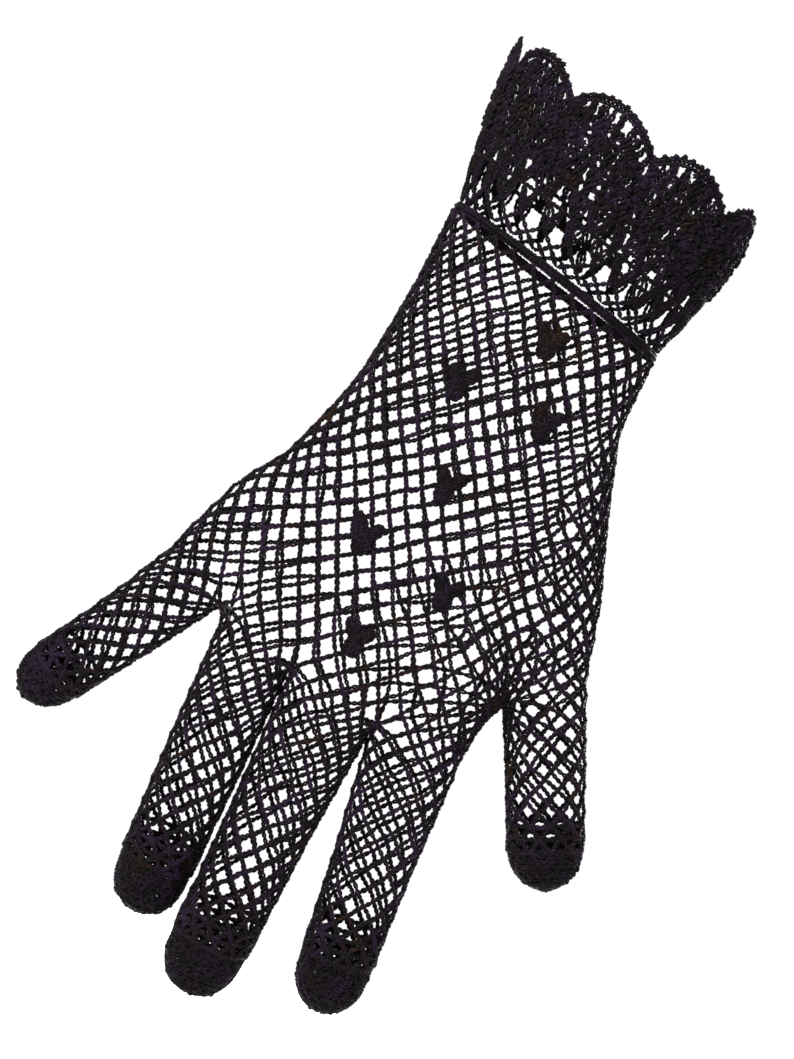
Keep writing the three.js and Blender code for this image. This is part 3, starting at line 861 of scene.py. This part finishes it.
def rope(path, normals, pitch=2.5, spread=0.4, lift=0.24, radius=ROPE_RADIUS, way=1, plies=2):
    """Plies twisted round a path of points: offset = spread cos(t) sideways + lift sin(t)
    outward, with t = 2 pi (distance / pitch + ply / plies), turned by `way`."""
    run = run_along(path)
    turns = max(1, round(run[-1] / pitch))
    along = unit(np.gradient(path, axis=0))
    normal = unit(normals)
    side = np.cross(normal, along)
    lines = []
    for ply in range(plies):
        t = 2 * np.pi * (way * turns * run / run[-1] + ply / plies)[:, None]
        lines.append(path + spread * np.cos(t) * side + lift * np.sin(t) * normal)
    lines = np.array(lines)
    radii = radius * np.ones(lines.shape[:2])
    tone = rng.uniform(0, 1, plies)
    return tubes_mesh(lines, np.broadcast_to(normal, lines.shape), radii, STRAND_SIDES, tone)


def tip_skin(tube):
    """A fingertip as a function of the distance along its skin and the angle round it.

    It gives the points at s, the place on the centre line whose skin lies that far on, and
    TIP_INSET + TIP_TAPER (distance / whole distance) under the skin. It returns that function,
    the girth at a distance and the whole distance."""
    fine = np.linspace(tube["cap_s"] - 0.4, tube["s"][-1] - 0.02, 400)
    reach = run_along(tube_point(tube, fine, np.full(len(fine), np.pi / 2))[0])

    def skin(at, angle, rise=0.0):
        under = TIP_INSET + TIP_TAPER * at / reach[-1]
        return tube_point(tube, np.full(len(angle), np.interp(at, reach, fine)), angle, rise - under)

    def girth(at):
        half = np.interp(np.interp(at, reach, fine), tube["s"], tube["width"] * tube["dome"])
        return 2 * np.pi * half

    return skin, girth, reach[-1]


def tip_rows(skin, girth, whole_way):
    """Closed rows of rope from the net's edge to the pole, with small knots on them."""
    rows = []
    for number, at in enumerate(np.arange(0, whole_way - 0.5, ROW_PITCH)):
        count = max(12, int(girth(at) / ROW_STEP))
        path, normal = skin(at, np.linspace(0, 2 * np.pi, count + 1) + number)
        wobble = rng.normal(0, ROW_WOBBLE, (count, 1))
        path = path + normal * np.vstack([wobble, wobble[:1]])
        rows.append(rope(path, normal, way=1 if number % 2 else -1))
        some = rng.permutation(count)[:count // KNOT_EVERY]
        rows.append(knots_mesh(path[some] + 0.15 * normal[some], normal[some], size=0.8))
    return rows


def tip_diamonds(skin, girth, whole_way):
    """Rounds of places on the skin, each tied by strands to two places of the round above."""
    parts, above = [], None
    for number, at in enumerate(np.arange(0.2, whole_way - 2.0, MESH_PITCH)):
        count = len(above[0]) if above else max(6, round(girth(at) / MESH_WIDTH))
        turn = np.arange(count) + number / 2 + rng.normal(0, 0.1, count)
        here, here_n = skin(at, 2 * np.pi * turn / count, MESH_RISE)
        if above:
            for shift in (0, -1):
                start, start_n = (np.roll(v, shift, axis=0) for v in above)
                parts.append(strands_mesh(start, here, start_n, here_n, radius=0.34))
        above = here, here_n
    return parts


for name, tube in tubes.items():
    tip = tip_skin(tube)
    obj = piece(f"{name}_dense_tip", tip_rows(*tip) + tip_diamonds(*tip), dense_cotton)
    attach(obj, f"{name}_tip")
    shown.setdefault(f"{name}_cap", []).append(obj)

# %% [markdown]
# ## The corded ridge
# A raised cord runs round the wrist, where the cuff is joined on, in a plane that leans down
# towards the thumb. It is four ropes: two side by side, one raised between them and one behind.
# The cuff above it is worked out as one surface of an angle and a height, and every cord, leaf
# and post of the cuff is laid on that surface.

# %% The cuff's surface and the ridge
ridge_half = (ridge_high - ridge_low) / 2
RIDGE_ROUND = 1.4        # the frame's ridge reaches this far past its centre line
CUFF_WIDTH, CUFF_DEPTH = ridge_half[0] - RIDGE_ROUND, ridge_half[1] - RIDGE_ROUND
rim_low = np.min([np.array(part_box(f"cuff_scallop_{k}")[0]) * MM for k in range(1, 10)], axis=0)
rim_high = np.max([np.array(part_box(f"cuff_scallop_{k}")[1]) * MM for k in range(1, 10)], axis=0)
RIM_WALL = 0.8           # half the thickness of a scallop
FLARE_WIDTH = (rim_high[0] - rim_low[0]) / 2 - CUFF_WIDTH - RIM_WALL
FLARE_DEPTH = (rim_high[1] - rim_low[1]) / 2 - CUFF_DEPTH - RIM_WALL
FLARE_SHIFT = 1.7        # the rim's middle is this far towards the thumb
PEAK_RISE, VALLEY_RISE, BAND_RISE = 44.3, 37.0, 20.3     # above the ridge
ROUND_TURN = 2 * np.pi


def cuff_point(angle, rise, out=0.0):
    """The cuff: an oval that opens as sin(quarter turn * rise / peak), on a leaning plane."""
    flare = np.sin(np.clip(rise / PEAK_RISE, 0, 1) * np.pi / 2)
    c, s = np.cos(angle), np.sin(angle)
    x = wrist_x + FLARE_SHIFT * flare + (CUFF_WIDTH + FLARE_WIDTH * flare + out) * c
    y = (CUFF_DEPTH + FLARE_DEPTH * flare + out) * s
    return np.stack([x, y, ridge_z + rise - LEAN * (x - wrist_x)], -1)


def cuff_normal(angle):
    """Outward from the oval: (cos / width, sin / depth)."""
    return unit(np.stack([np.cos(angle) / CUFF_WIDTH, np.sin(angle) / CUFF_DEPTH, np.zeros_like(angle)], -1))


def cuff_rope(angle, rise, out=0.0, **style):
    """A rope laid along the cuff."""
    rise, out = rise + np.zeros_like(angle), out + np.zeros_like(angle)
    return rope(cuff_point(angle, rise, out), cuff_normal(angle), **style)


whole = np.linspace(0, ROUND_TURN, 300)
ridge_rows = [(-0.72, 0.2, 1), (0.0, 0.75, -1), (0.72, 0.2, 1), (0.0, -0.4, -1)]  # up, out, way
ridge = piece("wrist_cord", [cuff_rope(whole, rise, out, way=way, radius=0.4, pitch=2.2, spread=0.3)
                             for rise, out, way in ridge_rows], cord_cotton)
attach(ridge, "hand")
shown["wrist_ridge"] = [ridge]

# %% [markdown]
# ## The cuff's lace band
# Above the ridge come two rounds of plain net, then two tiers of leaves. A leaf is a bundle of
# threads worked into one stitch at both ends, so it swells in the middle, and the leaves lean on
# each other in pairs with long open holes between them. No two are quite alike.

# %% Leaves and the band
COLUMNS = 27             # stitches round the band
NET_RISES = [1.7, 4.6, 7.7]                              # the rounds of plain net
LEAF_TIERS = [(7.7, 13.9, 1.0), (14.3, 20.2, 0.5)]       # foot, head, and columns turned
LEAF_LEAN = 0.62         # a pair's heads are this share of a column apart
LEAF_WIDTH, LEAF_THREADS, LEAF_POINTS = 3.0, 3, 12


def leaf(a, b, normal, width, threads, height=0.5, radius=0.4):
    """Threads from a to b that spread by width/2 sideways where sin(pi s) is largest."""
    s = np.linspace(0, 1, LEAF_POINTS)[None, :, None]
    share = np.linspace(-1, 1, threads)[:, None, None]
    swell = np.sin(np.pi * np.clip(s, 0.04, 0.96)) ** 0.55
    side = unit(np.cross(normal, b - a))
    lines = a + (b - a) * s + swell * share * (width / 2 - radius) * side
    lines = lines + height * swell * np.sqrt(1 - 0.8 * share ** 2) * normal
    twist = 2 * np.pi * 2.2 * s + rng.uniform(0, 2 * np.pi, (threads, 1, 1))
    wind = radius * 0.52 * (np.cos(twist) * side + np.sin(twist) * normal)
    both = np.concatenate([lines + wind, lines - wind])
    radii, tone = radius * 0.72 * np.ones(both.shape[:2]), rng.uniform(0, 1, 2 * threads)
    return tubes_mesh(both, np.broadcast_to(normal, both.shape), radii, STRAND_SIDES, tone)


def band_parts():
    """Two rounds of net, two tiers of leaves and a chain round between the tiers."""
    parts, rounds, step = [], [], ROUND_TURN / COLUMNS
    for k, rise in enumerate(NET_RISES):
        angle = (np.arange(COLUMNS) + k / 2) * step
        stray = rng.normal(0, 0.35, COLUMNS) if k else 0
        rounds.append((cuff_point(angle, rise + stray), cuff_normal(angle)))
    for (top, top_n), (low, low_n) in zip(rounds, rounds[1:]):
        for shift in (0, -1):
            other, other_n = np.roll(top, shift, axis=0), np.roll(top_n, shift, axis=0)
            parts.append(strands_mesh(low, other, low_n, other_n))
        parts.append(knots_mesh(low, low_n))
    for start, end, turned in LEAF_TIERS:
        for column in range(COLUMNS):
            for lean in (-0.5, 0.5):
                foot = (column + turned + rng.normal(0, 0.08)) * step
                head = foot + lean * LEAF_LEAN * step
                a = cuff_point(np.array(foot), np.array(start + rng.normal(0, 0.4)))
                b = cuff_point(np.array(head), np.array(end))
                normal = cuff_normal(np.array((foot + head) / 2))
                width = LEAF_WIDTH + rng.normal(0, 0.4)
                parts.append(leaf(a, b, normal, width, LEAF_THREADS, height=0.35, radius=0.45))
    parts.append(cuff_rope(whole, 14.1, way=1))
    parts.append(cuff_rope(whole, 20.3, way=-1))
    return parts


band = piece("cuff_lace", band_parts(), dense_cotton)
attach(band, "hand")
shown["cuff_band"] = [band]

# %% [markdown]
# ## The scallops
# Each scallop is a shell: three tiers of tall posts that fan out from its foot, a chain along
# the head of every tier, and a double cord with small picots along its rounded rim. The posts
# lean across each other and small bobbles lie over them, so a scallop is nearly solid and
# rough to the eye. Its edges lap over or under the next one.

# %% Shells
SCALLOPS = 9
FIRST_SCALLOP = -100.0   # degrees
SCALLOP_TURN = ROUND_TURN / SCALLOPS
TIERS, POSTS, PICOTS, BOBBLES = 3, 14, 12, 62
POST_STRAY, FOOT_STRAY = 0.03, 0.055     # of half a scallop
LAP = 1.07               # a scallop's width over its share of the round
LAP_OUT = 0.7            # how far its edges stand over or under the next


def scallop_rise(u, tier):
    """The tier's head: even shares of the rim 37 + 7.3 (1 - |u|^2.2) above the band."""
    rim = VALLEY_RISE + (PEAK_RISE - VALLEY_RISE) * (1 - np.minimum(np.abs(u), 1) ** 2.2)
    return BAND_RISE + (rim - 0.9 - BAND_RISE) * tier / TIERS


def scallop_parts(centre_angle, lap_out):
    """The posts, chains, rim, picots and bobbles of one scallop, centred on an angle.

    u runs from -1 to 1 across the scallop."""
    parts = []
    half = SCALLOP_TURN / 2 * LAP

    def at(u, rise, extra=0.0):
        """The cuff at u, moved out by lap_out (|u| - 0.7) / 0.3 towards the edges."""
        out = lap_out * np.clip(np.abs(u) - 0.7, 0, 1) / 0.3 + extra
        return cuff_point(centre_angle + u * half, rise, out), cuff_normal(centre_angle + u * half)

    for tier in range(TIERS):
        posts = POSTS + tier
        head_u = np.linspace(-0.97, 0.97, posts) + rng.normal(0, POST_STRAY, posts)
        foot_u = np.clip(head_u * 0.93 + rng.normal(0, FOOT_STRAY, posts), -0.95, 0.95)
        foot, foot_n = at(foot_u, scallop_rise(foot_u, tier) + 0.2)
        head, head_n = at(head_u, scallop_rise(head_u, tier + 1) - 0.2, rng.normal(0.15, 0.3, posts))
        parts.append(strands_mesh(foot, head, foot_n, head_n, radius=0.5, spread=0.55, lift=0.4))
        line = np.linspace(-1, 1, 62)
        chain, chain_n = at(line, scallop_rise(line, tier + 1), 0.35)
        parts.append(rope(chain, chain_n, way=1 if tier % 2 else -1, radius=0.36))
    line = np.linspace(-1, 1, 66)
    rim, rim_n = at(line, scallop_rise(line, TIERS) + 1.25, 0.1)
    parts.append(rope(rim, rim_n, way=-1, radius=0.4, spread=0.45))
    picot_u = np.linspace(-0.94, 0.94, PICOTS) + rng.normal(0, 0.02, PICOTS)
    picot_rise = scallop_rise(picot_u, TIERS) + 1.7 + rng.normal(0, 0.2, PICOTS)
    picot, picot_n = at(picot_u, picot_rise, 0.1)
    parts.append(knots_mesh(picot, picot_n, size=0.85))
    bobble_u = rng.uniform(-0.92, 0.92, BOBBLES)
    height = scallop_rise(bobble_u, TIERS) - BAND_RISE
    bobble_rise = BAND_RISE + height * rng.uniform(0.03, 0.97, BOBBLES)
    bobble, bobble_n = at(bobble_u, bobble_rise, 0.65)
    parts.append(knots_mesh(bobble, bobble_n, size=1.15))
    return parts


for number in range(SCALLOPS):
    turn = math.radians(FIRST_SCALLOP) + number * SCALLOP_TURN
    parts = scallop_parts(turn, LAP_OUT if number % 2 else -LAP_OUT)
    obj = piece(f"shell_{number + 1}", parts, dense_cotton)
    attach(obj, "hand")
    shown[f"cuff_scallop_{number + 1}"] = [obj]

# %% [markdown]
# ## Motifs on the back of the hand
# Small clusters are worked over the net on the back of the hand, each like a bud: two fat arms
# that reach up and outward, and a fatter body below them. They stand about a millimetre proud.

# %% Motifs
MOTIFS = 7
ARM_UP, ARM_OUT, BODY_DOWN = 4.4, 3.9, 5.1
ARM_WIDTH, BODY_WIDTH = 3.9, 5.4
BODY_KNOTS = (0.2, -1.5, -3.3)           # their heights on the body


def motif_parts(number):
    """One bud: two arms, a body and the knots over them, on the skin at the frame's motif."""
    low, high = (np.array(v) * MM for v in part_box(f"back_motif_{number}"))
    middle = ((low + high) / 2)[None]
    for _ in range(3):
        slope = slope_of(middle, hand_field)
        middle = middle - hand_field(middle)[:, None] * unit(slope)
    normal = unit(slope_of(middle, hand_field))[0]
    c = middle[0] + 0.35 * normal
    up = unit(np.cross(np.cross(normal, [0, 0, 1.0]), normal))
    right = np.cross(up, normal)
    sway = rng.normal(0, 0.3, 4)
    parts = []
    for side, far in ((-1, sway[0]), (1, sway[1])):
        tip = c + up * (ARM_UP + far) + right * side * (ARM_OUT + far)
        parts.append(leaf(c - up * 0.4, tip, normal, ARM_WIDTH, 5, height=0.55, radius=0.56))
        tie = c * 0.35 + tip * 0.65 + normal * 0.85
        parts.append(knots_mesh(tie[None], normal[None], size=1.2))
    foot = c - up * (BODY_DOWN + sway[2])
    parts.append(leaf(c + up * 1.2, foot, normal, BODY_WIDTH, 6, height=0.7, radius=0.6))
    for height in BODY_KNOTS:
        parts.append(knots_mesh((c + up * height + normal * 0.95)[None], normal[None], size=1.7))
    return parts


for number in range(1, MOTIFS + 1):
    obj = piece(f"bud_{number}", motif_parts(number), dense_cotton)
    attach(obj, "hand")
    shown[f"back_motif_{number}"] = [obj]

# %% [markdown]
# ## Studio
# A pale floor below the fingertips and a bright surround give an even white all round. The
# standard view transform keeps that white white and the cotton deep. One soft light from the
# front left and a weaker one from the right give each thread a lit side, and one behind the
# palm does the same for the far side of the net.

# %% Camera, lights and floor
VIEW_CENTRE = np.array([-9.5, 0.0, -117.4])
VIEW_HEIGHT = 275.0
VIEW_TILT = 26.57        # degrees, so the glove leans to the left
CAMERA_DISTANCE = 1100.0
SENSOR = 36.0
FLOOR_Z = -0.31          # metres, as are the lights' places below
FLOOR_SIZE, FLOOR_PALE = 1.4, 0.93
SURROUND = 1.02


def add_camera():
    """A long lens straight onto the back of the hand, turned so that the glove leans left."""
    data = bpy.data.cameras.new("camera")
    data.sensor_width = SENSOR
    data.lens = SENSOR * CAMERA_DISTANCE / VIEW_HEIGHT
    data.clip_end = 20
    camera = bpy.data.objects.new("camera", data)
    camera.location = (VIEW_CENTRE + [0, -CAMERA_DISTANCE, 0]) / MM
    camera.rotation_euler = (math.radians(90), math.radians(-VIEW_TILT), 0)
    bpy.context.scene.collection.objects.link(camera)
    bpy.context.scene.camera = camera


def add_softbox(name, location, target, size, power):
    """A square soft light facing a point. Places and sizes are metres, power is watts."""
    data = bpy.data.lights.new(name, "AREA")
    data.shape, data.size, data.energy = "SQUARE", size, power
    light = bpy.data.objects.new(name, data)
    light.location = location
    way = Vector(target) - Vector(location)
    light.rotation_euler = way.to_track_quat("-Z", "Y").to_euler()
    bpy.context.scene.collection.objects.link(light)


centre = tuple(VIEW_CENTRE / MM)
add_camera()
add_softbox("key light", (-0.5, -0.6, 0.4), centre, 0.3, 34)
add_softbox("fill light", (0.65, -0.5, 0.05), centre, 0.6, 9)
add_softbox("back light", (0.4, 0.75, 0.3), centre, 0.5, 15)
world = bpy.data.worlds.new("studio white")
world.use_nodes = True
world.node_tree.nodes["Background"].inputs["Color"].default_value = (1, 1, 1, 1)
world.node_tree.nodes["Background"].inputs["Strength"].default_value = SURROUND
bpy.context.scene.world = world
bpy.context.scene.view_settings.view_transform = "Standard"
bpy.ops.mesh.primitive_plane_add(size=FLOOR_SIZE, location=(centre[0], 0, FLOOR_Z))
floor = bpy.context.object
floor.name = "floor"
pale = bpy.data.materials.new("pale matt floor")
pale.use_nodes = True
matt = pale.node_tree.nodes["Principled BSDF"].inputs
matt["Base Color"].default_value = (FLOOR_PALE, FLOOR_PALE, FLOOR_PALE, 1)
matt["Roughness"].default_value = 0.9
floor.data.materials.append(pale)

# %% [markdown]
# ## Taking the frame's place
# Each piece takes the place of the plain solid that stood for it in the frame.

# %% Finish
for node, objs in shown.items():
    for obj in objs:
        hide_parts(node)
